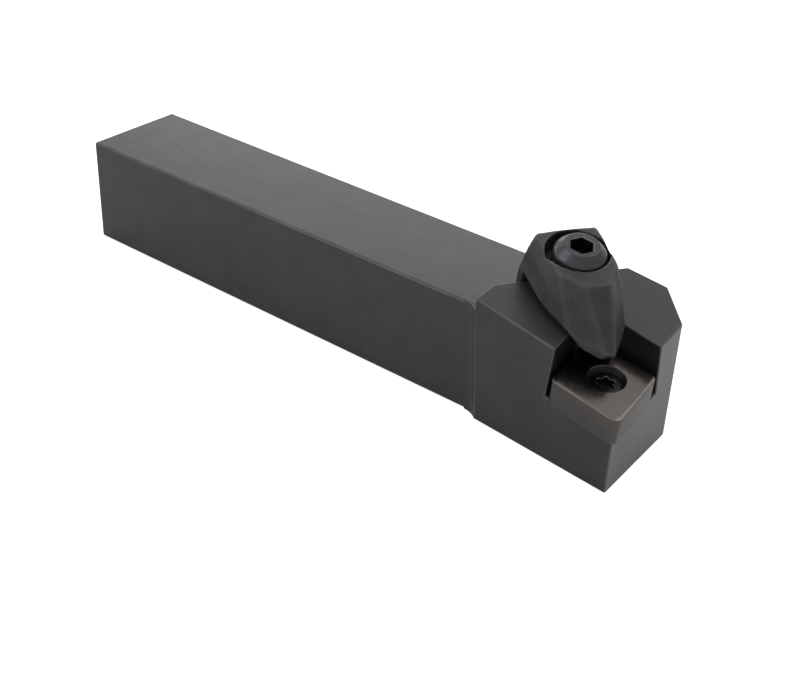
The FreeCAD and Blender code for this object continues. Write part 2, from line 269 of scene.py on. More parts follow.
class Grain(Enum):
    """Which way the tool marks run over a finish, as a scale on each object axis."""

    LENGTHWISE = (0.06, 1.0, 1.0)
    ACROSS = (1.0, 0.06, 1.0)
    UPRIGHT = (1.0, 1.0, 0.06)
    NONE = (1.0, 1.0, 1.0)


@dataclass(frozen=True)
class MetalFinish:
    """A metal surface with mottling, tool marks, fine pits, and edges lightened as wear and as
    painted highlights.

    Mottling and the pits are noise on Object coordinates, and tool marks are the same noise drawn
    out along the grain. Each size is the real one in millimetres. The edge colour goes where the
    edge attribute is set: partly wear, partly a painted highlight.
    """

    name: str
    dark: str
    light: str
    edge: str
    metallic: float
    roughness: float
    roughness_spread: float
    mottle_mm: float = 9.0
    mark_mm: float = 0.35
    mark_depth_mm: float = 0.004
    pit_mm: float = 0.55
    pit_depth_mm: float = 0.004
    grain: Grain = Grain.NONE
    edge_share: float = 0.6
    streak_share: float = 0.4

    def material(self) -> bpy.types.Material:
        """Build the material.

        Returns:
            The node material.
        """
        made = bpy.data.materials.new(self.name)
        made.use_nodes = True
        tree = made.node_tree
        tree.nodes.clear()
        place = add_node(tree, "ShaderNodeTexCoord").outputs["Object"]
        mottle = add_noise(tree, place, self.mottle_mm, 4.0, 0.6)
        drawn = add_node(tree, "ShaderNodeMapping", settings={"vector_type": "POINT"},
                         values={"Scale": self.grain.value}, links={"Vector": place})
        marks = add_noise(tree, drawn.outputs["Vector"], self.mark_mm, 3.0, 0.55)
        pits = add_noise(tree, place, self.pit_mm, 5.0, 0.65)
        # The edge colour, partly wear and partly a painted highlight, goes where the edge attribute
        # is set
        lit_wear_attribute = add_node(tree, "ShaderNodeAttribute",
                        settings={"attribute_name": "wear_and_highlight_edge", "attribute_type": "GEOMETRY"})
        patchy = add_range(tree, mottle, 0.35, 0.65, 0.35, self.edge_share)
        lit_wear = add_node(tree, "ShaderNodeMath", settings={"operation": "MULTIPLY"},
                          links={0: lit_wear_attribute.outputs["Fac"], 1: patchy})
        blotch = add_range(tree, mottle, 0.32, 0.68)
        streak = add_range(tree, marks, 0.3, 0.7)
        tone = add_node(tree, "ShaderNodeMix", settings={"data_type": "FLOAT"},
                        values={0: self.streak_share}, links={2: blotch, 3: streak})
        ground = add_node(tree, "ShaderNodeMix", settings={"data_type": "RGBA"},
                          values={6: linear(self.dark), 7: linear(self.light)},
                          links={0: tone.outputs[0]})
        colour = add_node(tree, "ShaderNodeMix", settings={"data_type": "RGBA"},
                          values={7: linear(self.edge)},
                          links={0: lit_wear.outputs[0], 6: ground.outputs[2]})
        rough = add_range(tree, marks, 0.3, 0.7, self.roughness - self.roughness_spread,
                          self.roughness + self.roughness_spread)
        fine = add_node(tree, "ShaderNodeBump",
                        values={"Strength": 1.0, "Distance": self.mark_depth_mm * MM},
                        links={"Height": marks})
        bump = add_node(tree, "ShaderNodeBump",
                        values={"Strength": 1.0, "Distance": self.pit_depth_mm * MM},
                        links={"Height": pits, "Normal": fine.outputs["Normal"]})
        shader = add_node(tree, "ShaderNodeBsdfPrincipled",
                          values={"Metallic": self.metallic},
                          links={"Base Color": colour.outputs[2], "Roughness": rough,
                                 "Normal": bump.outputs["Normal"]})
        add_node(tree, "ShaderNodeOutputMaterial", links={"Surface": shader.outputs["BSDF"]})
        return made


# Steel blackened by a hot oxide bath over a ground shank: matt, near black, with a satin sheen
BLACK_OXIDE = MetalFinish("ground_steel_black_oxide", "#363438", "#424043", "#69696b",
                          metallic=0.35, roughness=0.42, roughness_spread=0.05,
                          grain=Grain.LENGTHWISE)
# The same steel on the milled end of the head, its colour painted lighter for the light that falls
# on that face
LIT_END_OXIDE = MetalFinish("end_steel_oxide_painted_light", "#676568", "#727073", "#848486",
                           metallic=0.35, roughness=0.38, roughness_spread=0.04,
                           grain=Grain.UPRIGHT)
# And on the pocket's walls, painted near black for the shade that falls inside the pocket
SHADED_POCKET_OXIDE = MetalFinish("pocket_steel_oxide_painted_shade", "#171618", "#1f1e20", "#4a4a4c",
                           metallic=0.35, roughness=0.46, roughness_spread=0.03)
# Forged alloy steel, blasted and blackened: a grainy skin that breaks up the gloss
FORGED_BLACK = MetalFinish("forged_steel_blackened", "#302f32", "#3f3e41", "#69696b",
                           metallic=0.35, roughness=0.45, roughness_spread=0.06, mottle_mm=3.0,
                           mark_mm=0.5, mark_depth_mm=0.01, pit_mm=0.9, pit_depth_mm=0.014,
                           edge_share=0.4)
# Turned and blackened screw steel: smoother than the holder, with an oily gloss, and a painted
# highlight on the rim of its recess
SCREW_BLACK = MetalFinish("turned_screw_steel_blackened", "#48474b", "#525155", "#8a898c",
                          metallic=0.6, roughness=0.29, roughness_spread=0.03, mottle_mm=2.0,
                          mark_mm=0.6, mark_depth_mm=0.0004, pit_mm=0.8, pit_depth_mm=0.0004,
                          streak_share=0.0)
# The shim's small screw, painted near black for the shade deep in the shim's hole, and near white
# on its recess's rim as a painted glint
SHIM_SCREW_SHADE_AND_GLINT = MetalFinish("shim_screw_steel_painted_shade_and_glint", "#141315", "#1c1b1d", "#d0cfd2",
                               metallic=0.6, roughness=0.3, roughness_spread=0.03, mottle_mm=1.0,
                               mark_mm=0.2, mark_depth_mm=0.0006, pit_mm=0.4, pit_depth_mm=0.0006,
                               edge_share=1.0)
# The broached walls inside a screw's recess, painted near black for the shade inside it
SHADED_RECESS_BLACK = MetalFinish("broached_recess_painted_shade", "#0c0b0d", "#121113", "#3c3b3e",
                           metallic=0.4, roughness=0.45, roughness_spread=0.03, mottle_mm=1.0,
                           mark_mm=0.2, mark_depth_mm=0.001, pit_mm=0.4, pit_depth_mm=0.001)
# Ground sintered tungsten carbide: warm grey, denser and brighter than the steel
CARBIDE = MetalFinish("ground_tungsten_carbide", "#726d69", "#827d78", "#a19c97",
                      metallic=1.0, roughness=0.2, roughness_spread=0.03, mottle_mm=5.0,
                      mark_mm=0.3, mark_depth_mm=0.0004, pit_mm=0.6, pit_depth_mm=0.0004,
                      grain=Grain.ACROSS, streak_share=0.6)
# The plate's sides, pressed and sintered and then only lightly ground: browner and less bright
CARBIDE_SIDE = MetalFinish("sintered_tungsten_carbide_side", "#54514f", "#615e5b", "#8f8a85",
                           metallic=1.0, roughness=0.34, roughness_spread=0.04, mottle_mm=4.0,
                           mark_mm=0.3, mark_depth_mm=0.002, pit_mm=0.35, pit_depth_mm=0.002)
# The same carbide inside the hole, pressed and sintered but not ground, so dark and matt, and
# painted near black besides for the shade inside the hole and the dark clamp it reflects
CARBIDE_SKIN_AND_SHADE = MetalFinish("sintered_carbide_skin_and_painted_shade", "#0d0c0c", "#141313", "#5a5755",
                           metallic=0.3, roughness=0.5, roughness_spread=0.04, mottle_mm=2.0,
                           mark_mm=0.3, mark_depth_mm=0.002, pit_mm=0.3, pit_depth_mm=0.003)
# Drawn spring wire with its blue-grey drawing skin
SPRING_WIRE = MetalFinish("drawn_spring_wire", "#4b4d51", "#65676b", "#909296",
                          metallic=1.0, roughness=0.36, roughness_spread=0.05, mottle_mm=1.5,
                          mark_mm=0.2, mark_depth_mm=0.002, pit_mm=0.3, pit_depth_mm=0.002)


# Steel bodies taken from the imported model, with their sharp edges broken

@dataclass(frozen=True)
class EdgeBreak:
    """One pass of rounding over the convex edges of a body.

    The pass takes edges whose faces meet at no less than least_angle, that are no shorter than
    least_mm, and whose middle lies no further back than from_mm on the X axis.
    """

    width_mm: float
    least_mm: float
    from_mm: float
    segments: int = 3
    least_angle: float = 18.0

    def picks(self, edge: bmesh.types.BMEdge) -> bool:
        """Say whether the pass rounds this edge."""
        if len(edge.link_faces) != 2 or not edge.is_convex:
            return False
        middle = (edge.verts[0].co + edge.verts[1].co) / 2 / MM
        bent = math.degrees(edge.calc_face_angle(0.0))
        return (middle.x >= self.from_mm and bent >= self.least_angle
                and edge.calc_length() / MM >= self.least_mm)


def broken_edges(node: str, name: str, rounding: EdgeBreak) -> bpy.types.Object:
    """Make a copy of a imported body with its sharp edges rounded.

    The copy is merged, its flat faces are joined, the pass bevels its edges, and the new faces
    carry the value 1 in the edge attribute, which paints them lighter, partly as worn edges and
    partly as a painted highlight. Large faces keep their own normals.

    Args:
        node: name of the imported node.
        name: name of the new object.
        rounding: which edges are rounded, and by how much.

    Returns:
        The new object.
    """
    work = bmesh.new()
    work.from_mesh(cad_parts[node].data)
    bmesh.ops.remove_doubles(work, verts=work.verts, dist=SAME_CORNER)
    bmesh.ops.dissolve_limit(work, angle_limit=math.radians(FLAT_BELOW), verts=work.verts,
                             edges=work.edges)
    lit_wear = work.faces.layers.float.new("wear_and_highlight_edge")
    chosen = [e for e in work.edges if rounding.picks(e)]
    done = bmesh.ops.bevel(work, geom=chosen, offset=rounding.width_mm * MM,
                           offset_type="OFFSET", segments=rounding.segments, profile=0.5,
                           affect="EDGES", clamp_overlap=False)
    for face in done["faces"]:
        face[lit_wear] = 1.0
    LOG.info("%s: %d edges broken by %.2f mm", name, len(chosen), rounding.width_mm)
    mesh = bpy.data.meshes.new(name)
    work.to_mesh(mesh)
    work.free()
    mesh.shade_smooth()
    mesh.set_sharp_from_angle(angle=math.radians(PACKED_SHARP))
    made = bpy.data.objects.new(name, mesh)
    bpy.context.scene.collection.objects.link(made)
    even = made.modifiers.new("even_faces", "WEIGHTED_NORMAL")
    even.keep_sharp = True
    return made


@dataclass
class HolderBody:
    """The shank and head: a ground square bar with a milled head, blackened all over.

    What lies ahead of head_from_mm on the X axis is dressed as the head. Its end takes the end's
    finish, whose colour is painted lighter for the light that falls on the end, and the pocket's
    two walls, which lie more than pocket_in_mm from the seat's corner, take the pocket's, painted
    near black for the shade in the pocket. The shank's chamfers, which face no axis squarely, take
    the edge colour as a painted highlight along the shank's edges.
    """

    head_break_mm: float = 0.32
    head_least_mm: float = 0.9
    head_from_mm: float = 36.0
    end_facing: float = 0.97
    finish: MetalFinish = BLACK_OXIDE
    end_finish: MetalFinish = LIT_END_OXIDE
    pocket_finish: MetalFinish = SHADED_POCKET_OXIDE
    pocket_in_mm: float = 12.0
    wall_facing: float = 0.5
    chamfer_facing: float = 0.9

    def build(self) -> bpy.types.Object:
        """Make the body with its head's edges broken."""
        rounding = EdgeBreak(self.head_break_mm, self.head_least_mm, self.head_from_mm)
        body = broken_edges("holder_body", "holder_steel_body", rounding)
        for finish in (self.finish, self.end_finish, self.pocket_finish):
            body.data.materials.append(finish.material())
        count = len(body.data.polygons)
        facing, middle = np.empty(count * 3), np.empty(count * 3)
        body.data.polygons.foreach_get("normal", facing)
        body.data.polygons.foreach_get("center", middle)
        facing = facing.reshape(-1, 3)
        local = SEAT_AXES.inward(middle.reshape(-1, 3))
        ahead = facing @ SEAT_AXES.turn
        # The pocket's two walls take a colour painted near black for the shade inside the pocket
        rear_wall = (local[:, 0] < -self.pocket_in_mm) & (ahead[:, 0] > self.wall_facing)
        far_wall = (local[:, 1] > self.pocket_in_mm) & (ahead[:, 1] < -self.wall_facing)
        # Faces that look along +X take the end's colour, painted lighter for the light that falls
        # on them
        kinds = np.where(facing[:, 0] > self.end_facing, 1, 0)
        kinds[rear_wall | far_wall] = 2
        body.data.polygons.foreach_set("material_index", kinds.astype(np.int32))
        lit_wear = np.empty(count)
        body.data.attributes["wear_and_highlight_edge"].data.foreach_get("value", lit_wear)
        # The shank's chamfers take the edge colour as a painted highlight along the shank's edges
        shank = middle.reshape(-1, 3)[:, 0] < self.head_from_mm * MM
        slanting = np.abs(facing).max(1) < self.chamfer_facing
        lit_wear[shank & slanting] = 1.0
        body.data.attributes["wear_and_highlight_edge"].data.foreach_set("value", lit_wear)
        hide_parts("holder_body")
        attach(body, "holder")
        return body


@dataclass
class TopClamp:
    """The forged clamp that reaches from behind the raised head to above the shim's hole.

    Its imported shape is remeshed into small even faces. Smoothing then rounds its facets' edges as
    a die leaves them, and less round the counterbore, which is cut after forging. Heights and
    distances are millimetres in the clamp's axes, from the middle of the counterbore's top.
    """

    voxel_mm: float = 0.22
    soft_steps: int = 16
    counterbore_mm: float = 6.15
    counterbore_depth_mm: float = 3.4
    crisp_share: float = 0.3
    crisp_reach_mm: float = 0.6
    crisp_fade_mm: float = 1.4
    skirt_mm: float = 1.0
    wave_mm: float = 0.06
    wave_axes: tuple = ((0.9, -0.5, 0.3), (0.2, 0.8, -0.6), (-0.4, 0.3, 1.0))
    full_mm: float = 0.35
    full_below_mm: float = 7.0
    full_rise_mm: float = 4.0
    full_beside_mm: float = 4.0
    full_widen_mm: float = 2.5
    full_clear_mm: float = 5.9
    full_edge_mm: float = 0.2
    seat_mm: float = 6.0
    seat_band_mm: float = 0.5
    seat_gap_mm: float = 0.04
    wear_and_highlight_gain: float = 9.0
    finish: MetalFinish = FORGED_BLACK

    def even_mesh(self) -> tuple[np.ndarray, np.ndarray, np.ndarray]:
        """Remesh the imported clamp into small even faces.

        Returns:
            Vertices in metres, edges as index pairs and quads as index rows.
        """
        work = bmesh.new()
        work.from_mesh(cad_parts["clamp"].data)
        bmesh.ops.remove_doubles(work, verts=work.verts, dist=SAME_CORNER)
        mesh = bpy.data.meshes.new("clamp_blank")
        work.to_mesh(mesh)
        work.free()
        blank = bpy.data.objects.new("clamp_blank", mesh)
        bpy.context.scene.collection.objects.link(blank)
        remesh = blank.modifiers.new("even", "REMESH")
        remesh.mode = "VOXEL"
        remesh.voxel_size = self.voxel_mm * MM
        view = bpy.context.evaluated_depsgraph_get()
        fine = bpy.data.meshes.new_from_object(blank.evaluated_get(view))
        points = np.empty(len(fine.vertices) * 3)
        fine.vertices.foreach_get("co", points)
        pairs = np.empty(len(fine.edges) * 2, int)
        fine.edges.foreach_get("vertices", pairs)
        corners = np.empty(len(fine.loops), int)
        fine.loops.foreach_get("vertex_index", corners)
        bpy.data.objects.remove(blank)
        bpy.data.meshes.remove(mesh)
        bpy.data.meshes.remove(fine)
        return points.reshape(-1, 3), pairs.reshape(-1, 2), corners.reshape(-1, 4)

    @staticmethod
    def neighbour_mean(values: np.ndarray, pairs: np.ndarray) -> np.ndarray:
        """Average each vertex's neighbours, with every edge counted once from each end."""
        ends = np.concatenate([pairs, pairs[:, ::-1]])
        count = np.bincount(ends[:, 0], minlength=len(values))
        total = np.stack([np.bincount(ends[:, 0], values[ends[:, 1], k], len(values))
                          for k in range(values.shape[1])], -1)
        return total / count[:, None]

    def softness(self, points: np.ndarray) -> np.ndarray:
        """Say how strongly each vertex is smoothed.

        Formula: crisp_share inside the counterbore and within crisp_reach_mm of its wall, rising
        to 1 over the next crisp_fade_mm; and 1 lower than skirt_mm under the counterbore.

        Args:
            points: vertices in metres.

        Returns:
            One share for each vertex.
        """
        local = CLAMP_AXES.inward(points)
        wall = np.abs(np.hypot(local[:, 0], local[:, 1]) - self.counterbore_mm)
        near = np.clip((wall - self.crisp_reach_mm) / self.crisp_fade_mm, 0, 1)
        skirt = -self.counterbore_depth_mm - self.skirt_mm
        inside = (np.hypot(local[:, 0], local[:, 1]) < self.counterbore_mm) & (local[:, 2] > skirt)
        near = np.where(local[:, 2] < skirt, 1.0, near)
        near[inside] = 0.0
        return self.crisp_share + (1 - self.crisp_share) * near

    def fullness(self, points: np.ndarray) -> np.ndarray:
        """Give how far the forging's upper part swells beyond its nominal facets.

        Formula: full_mm upwards, rising smoothly from nothing at full_below_mm under the
        counterbore's top to all of it full_rise_mm higher; and full_mm outwards from the middle
        plane, rising smoothly from full_beside_mm beside it over full_widen_mm, and over the same
        heights. Neither acts nearer than full_clear_mm to the counterbore's axis, since the head
        on its floor reaches 5.84 mm from it, and both come in over the next full_edge_mm.

        Args:
            points: vertices in metres.

        Returns:
            A move for each vertex, in metres.
        """
        local = CLAMP_AXES.inward(points)
        high = np.clip((local[:, 2] + self.full_below_mm) / self.full_rise_mm, 0, 1)
        wide = np.clip((np.abs(local[:, 1]) - self.full_beside_mm) / self.full_widen_mm, 0, 1)
        high, wide = (v * v * (3 - 2 * v) for v in (high, wide))
        out = np.hypot(local[:, 0], local[:, 1])
        high = high * np.clip((out - self.full_clear_mm) / self.full_edge_mm, 0, 1)
        move = np.column_stack([0 * high, np.sign(local[:, 1]) * wide * high, high])
        return move @ CLAMP_AXES.turn.T * self.full_mm * MM

    def seated(self, points: np.ndarray) -> np.ndarray:
        """Hold the counterbore's floor just below the head that bears on it.

        Formula: a vertex of the floor, within seat_band_mm of its nominal height and seat_mm of
        its axis, is lowered to seat_gap_mm under that height if it stands above it.

        Args:
            points: vertices in metres.

        Returns:
            The vertices with the floor lowered.
        """
        local = CLAMP_AXES.inward(points)
        floor = -self.counterbore_depth_mm
        near = ((np.hypot(local[:, 0], local[:, 1]) < self.seat_mm)
                & (np.abs(local[:, 2] - floor) < self.seat_band_mm))
        local[near, 2] = np.minimum(local[near, 2], floor - self.seat_gap_mm)
        return CLAMP_AXES.out(local)

    def build(self) -> bpy.types.Object:
        """Make the clamp from the even mesh.

        Formula: each step moves a vertex half its softness towards its neighbours' mean. The
        edge mark of a point, partly wear and partly a painted highlight on the forging's ridges, is
        how far it stands out from its surroundings after the last step. The product of two slow
        sine waves plus half of a third, along the normal, gives the forged skin its unevenness.

        Returns:
            The clamp.
        """
        points, pairs, quads = self.even_mesh()
        soft = self.softness(points)[:, None]
        for _ in range(self.soft_steps):
            points = points + 0.5 * soft * (self.neighbour_mean(points, pairs) - points)
        mesh = bpy.data.meshes.new("clamp_forging")
        mesh.from_pydata(points.tolist(), [], quads.tolist())
        normals = np.empty(len(points) * 3)
        mesh.vertices.foreach_get("normal", normals)
        normals = normals.reshape(-1, 3)
        away = self.neighbour_mean(self.neighbour_mean(points, pairs), pairs) - points
        proud = -(away * normals).sum(1) / (self.voxel_mm * MM)
        turns = points / MM @ np.array(self.wave_axes)
        wave = np.sin(turns[:, 0]) * np.sin(turns[:, 1] + 1.0) + 0.5 * np.sin(1.7 * turns[:, 2])
        sunk = (0.5 + 0.3 * wave)[:, None] * soft * self.wave_mm * MM
        moved = points - normals * sunk
        moved = self.seated(moved + self.fullness(moved))
        mesh.vertices.foreach_set("co", moved.ravel())
        mesh.update()
        body = finished_object("clamp_forging", mesh)
        # Points that stand out take the edge colour: wear and a painted highlight on the forging's
        # ridges
        lit_wear = mesh.attributes.new("wear_and_highlight_edge", "FLOAT", "POINT")
        lit_wear.data.foreach_set("value", np.clip(proud * self.wear_and_highlight_gain, 0, 1).astype(np.float32))
        body.data.materials.append(self.finish.material())
        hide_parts("clamp")
        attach(body, "clamp")
        return body


# Shim

@dataclass
class SeatShim:
    """The carbide plate under the insert: an 80 degree rhombus with a countersunk hole."""

    point_angle: float = 80.0
    edge_mm: float = 15.816
    thickness_mm: float = 5.95
    corner_mm: float = 1.2
    near_lean: float = 5.6
    end_lean: float = 4.4
    inset_mm: float = 0.15
    hole_shift_mm: float = 0.5
    hole_mm: float = 2.8
    sink_mm: float = 3.8
    sink_half_angle: float = 30.0
    rim_wide_mm: float = 0.06
    rim_deep_mm: float = 0.05
    foot_mm: float = 0.1
    edge_round_mm: float = 0.14
    finish: MetalFinish = CARBIDE
    side_finish: MetalFinish = CARBIDE_SIDE
    hole_finish: MetalFinish = CARBIDE_SKIN_AND_SHADE

    @property
    def directions(self) -> tuple[np.ndarray, np.ndarray]:
        """Unit directions of the end edge and the near edge from the working corner."""
        near, end = math.radians(self.near_lean), math.radians(self.end_lean)
        return (np.array([-math.sin(end), math.cos(end)]),
                np.array([-math.cos(near), math.sin(near)]))

    @property
    def centre(self) -> np.ndarray:
        """Middle of the plate in the seat's axes."""
        end, near = self.directions
        full = self.edge_mm + 2 * self.inset_mm / math.sin(math.radians(self.point_angle))
        return (end + near) * full / 2

    @property
    def hole(self) -> np.ndarray:
        """Middle of the hole in the seat's axes."""
        end, near = self.directions
        across = (end - near) / np.linalg.norm(end - near)
        return self.centre + across * self.hole_shift_mm

    def outline(self, inset: float, per_corner: int = 10, per_side: int = 10) -> np.ndarray:
        """Give the rounded rhombus, drawn in by an inset.

        Formula: each corner is an arc of the corner radius less the inset, about a centre that
        lies the corner radius inside both edges; straight runs join the arcs.

        Args:
            inset: how far inside the plate's edge.
            per_corner: points on each corner's arc.
            per_side: points inside each straight run.

        Returns:
            Points in the plane of the seat, counterclockwise.
        """
        end, near = self.directions
        half = self.edge_mm / 2
        corners = self.centre + np.array([-end - near, end - near, end + near, near - end]) * half
        after = np.roll(corners, -1, 0) - corners
        after /= np.linalg.norm(after, axis=1)[:, None]
        outward = np.stack([after[:, 1], -after[:, 0]], -1)
        before = np.roll(outward, 1, 0)
        opening = np.arccos(np.clip((outward * before).sum(1), -1, 1))
        bisector = (outward + before) / np.linalg.norm(outward + before, axis=1)[:, None]
        centres = corners - bisector * (self.corner_mm / np.cos(opening / 2))[:, None]
        start = np.arctan2(before[:, 1], before[:, 0])
        share = np.linspace(0, 1, per_corner)
        angle = start[:, None] + opening[:, None] * share[None, :]
        radius = self.corner_mm - inset
        arcs = centres[:, None, :] + radius * np.stack([np.cos(angle), np.sin(angle)], -1)
        step = np.linspace(0, 1, per_side + 2)[1:-1][None, :, None]
        runs = arcs[:, -1:, :] * (1 - step) + np.roll(arcs, -1, 0)[:, :1, :] * step
        return np.concatenate([arcs, runs], 1).reshape(-1, 2)

    def build(self) -> bpy.types.Object:
        """Make the plate as rings that run round its section.

        Formula: a ring is the outline drawn in by an inset, mixed by a share with a circle about
        the hole at the same bearing, at a height. A row holds a ring's inset, height, share and
        circle, from the hole's foot outwards under the plate, up its side and in over its top.

        Returns:
            The plate.
        """
        base = self.outline(0.0)
        bearing = np.arctan2(*(base - self.hole).T[::-1])
        circle = np.stack([np.cos(bearing), np.sin(bearing)], -1)
        low, r = -self.thickness_mm, self.edge_round_mm
        turn = np.radians([0, 30, 60, 90])
        sink = (self.sink_mm - self.hole_mm) / math.tan(math.radians(self.sink_half_angle))
        rows: list[tuple[float, float, float, float]] = []
        rows += [(r, low, m, self.hole_mm) for m in (1.0, 0.66, 0.33)]
        rows += [(r * (1 - math.sin(a)), low + r * (1 - math.cos(a)), 0.0, 0.0) for a in turn]
        rows += [(r * (1 - math.cos(a)), -r * (1 - math.sin(a)), 0.0, 0.0) for a in turn]
        rows += [(r, 0.0, m, self.sink_mm + self.rim_wide_mm) for m in (0.2, 0.4, 0.6, 0.8, 1.0)]
        rows += [(0.0, -self.rim_deep_mm, 1.0, self.sink_mm), (0.0, -sink, 1.0, self.hole_mm)]
        rows += [(0.0, low + self.foot_mm, 1.0, self.hole_mm)]
        rings = []
        for inset, height, share, radius in rows:
            flat = (1 - share) * self.outline(inset) + share * (self.hole + radius * circle)
            rings.append(np.column_stack([flat, np.full(len(flat), height)]))
        plate = solid_from_rings("seat_shim_plate", SEAT_AXES.out(np.array(rings)), poles=False)
        for finish in (self.finish, self.side_finish, self.hole_finish):
            plate.data.materials.append(finish.material())
        # Rows round the hole take the skin colour, painted near black for the shade inside the hole
        kinds = [2 if share == 1.0 and height < 0.0
                 else 1 if share == 0.0 and height < -r / 2 else 0
                 for _, height, share, _ in rows]
        kinds = np.repeat(kinds, len(base)).astype(np.int32)
        plate.data.polygons.foreach_set("material_index", kinds)
        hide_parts("seat_shim")
        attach(plate, "holder")
        return plate


# Screws

class Recess(Enum):
    """Shape of a screw's drive recess."""

    HEXAGON = "hexagon"
    SIX_LOBE = "six_lobe"


# A recess's floor from its middle outwards: share of its radius, and height in millimetres
RECESS_FLOOR = ((0.02, -0.35), (0.5, -0.18), (0.99, 0.0), (1.0, 0.05))
# Head profiles from the recess outwards and down to the thread: radius and height in millimetres
SHIM_SCREW_HEAD = ((2.35, -1.1), (2.9, -1.12), (3.04, -1.2), (2.96, -1.35), (2.48, -2.35))
CLAMP_SCREW_HEAD = ((3.4, 2.0), (3.56, 1.99), (3.66, 1.93), (3.74, 1.84), (4.2, 1.4), (4.74, 0.87),
                    (5.02, 0.56), (5.19, 0.3), (5.28, 0.02), (5.3, -0.3), (5.3, -3.1),
                    (5.15, -3.38), (3.3, -3.38), (2.98, -3.7))


@dataclass
class Screw:
    """A screw of revolution with a drive recess and a rolled thread, along its own +w axis.

    Heights are in millimetres along that axis. The thread runs from thread_from down to
    thread_to, with thread_mm as its crest radius.
    """

    name: str
    node: str
    body: str
    axes: Axes
    recess: Recess
    profile: tuple[tuple[float, float], ...]
    recess_mm: float
    recess_depth_mm: float
    recess_turn: float
    thread_mm: float
    thread_from: float
    thread_to: float
    pitch_mm: float
    rim_mm: float = 0.14
    rim_flare: float = 1.045
    lobe_share: float = 0.17
    thread_share: float = 0.6
    flank: float = 2.6
    point_mm: float = 0.6
    per_pitch: int = 8
    finish: MetalFinish = SCREW_BLACK
    recess_finish: MetalFinish = SHADED_RECESS_BLACK
    across: int = 96

    def recess_radius(self, angle: np.ndarray) -> np.ndarray:
        """Give the recess's radius at each bearing.

        Formula: for the hexagon, half its flats over the cosine of the bearing from the nearest
        flat's middle. For six lobes, a mean radius plus a cosine wave of six periods.

        Args:
            angle: bearings from the first corner or lobe, in radians.

        Returns:
            Radii in millimetres.
        """
        if self.recess is Recess.HEXAGON:
            return self.recess_mm / np.cos(np.mod(angle, math.pi / 3) - math.pi / 6)
        return self.recess_mm * (1 + self.lobe_share * np.cos(6 * angle))

    def thread(self, angle: np.ndarray, height: float) -> np.ndarray:
        """Give the thread's radius at each bearing of one height.

        Formula: the crest radius less thread_share of the pitch times a triangle wave, cut off at
        0 and 1, of the turns passed, which is height over pitch less bearing over a full turn.
        The wave fades out at both ends of the thread.

        Args:
            angle: bearings in radians.
            height: height in millimetres.

        Returns:
            Radii in millimetres.
        """
        phase = np.mod(height / self.pitch_mm - angle / (2 * math.pi), 1.0)
        wave = np.clip(self.flank / 2 - self.flank * np.abs(2 * phase - 1), 0, 1)
        ends = np.minimum(height - self.thread_to, self.thread_from - height)
        fade = np.clip(ends / self.pitch_mm, 0, 1)
        return self.thread_mm - self.thread_share * self.pitch_mm * wave * fade

    def build(self) -> bpy.types.Object:
        """Make the screw as rings from the recess's floor, over the head, to the point.

        Returns:
            The screw.
        """
        bearing = np.arange(self.across) * 2 * math.pi / self.across
        shape = self.recess_radius(bearing)
        turn = bearing + math.radians(self.recess_turn)
        top = self.profile[0][1]
        floor = top - self.recess_depth_mm
        rows = [(shape * share, floor + height) for share, height in RECESS_FLOOR]
        rows += [(shape, top - self.rim_mm), (shape * self.rim_flare, top)]
        inner = len(rows) - 2
        rows += [(np.full(self.across, r), h) for r, h in self.profile]
        steps = int((self.thread_from - self.thread_to) / self.pitch_mm * self.per_pitch)
        heights = np.linspace(self.thread_from, self.thread_to, steps)
        rows += [(self.thread(bearing, h), h) for h in heights]
        rows += [(np.full(self.across, self.thread_mm - self.point_mm),
                  self.thread_to - self.point_mm)]
        rings = [np.column_stack([r * np.cos(turn), r * np.sin(turn), np.full(self.across, h)])
                 for r, h in rows]
        screw = solid_from_rings(self.name, self.axes.out(np.array(rings)))
        for finish in (self.finish, self.recess_finish):
            screw.data.materials.append(finish.material())
        quads = (len(rows) - 1) * self.across
        # The recess's walls and floor take a colour painted near black for the shade inside the
        # recess
        kinds = np.zeros(len(screw.data.polygons), np.int32)
        kinds[:inner * self.across] = 1
        kinds[quads:quads + self.across] = 1
        screw.data.polygons.foreach_set("material_index", kinds)
        # The ring at the recess's rim takes the edge colour as a painted highlight
        lit_wear = np.zeros(len(kinds), np.float32)
        lit_wear[inner * self.across:(inner + 1) * self.across] = 1.0
        screw.data.attributes.new("wear_and_highlight_edge", "FLOAT", "FACE").data.foreach_set("value", lit_wear)
        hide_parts(self.node)
        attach(screw, self.body)
        return screw


# Lift spring

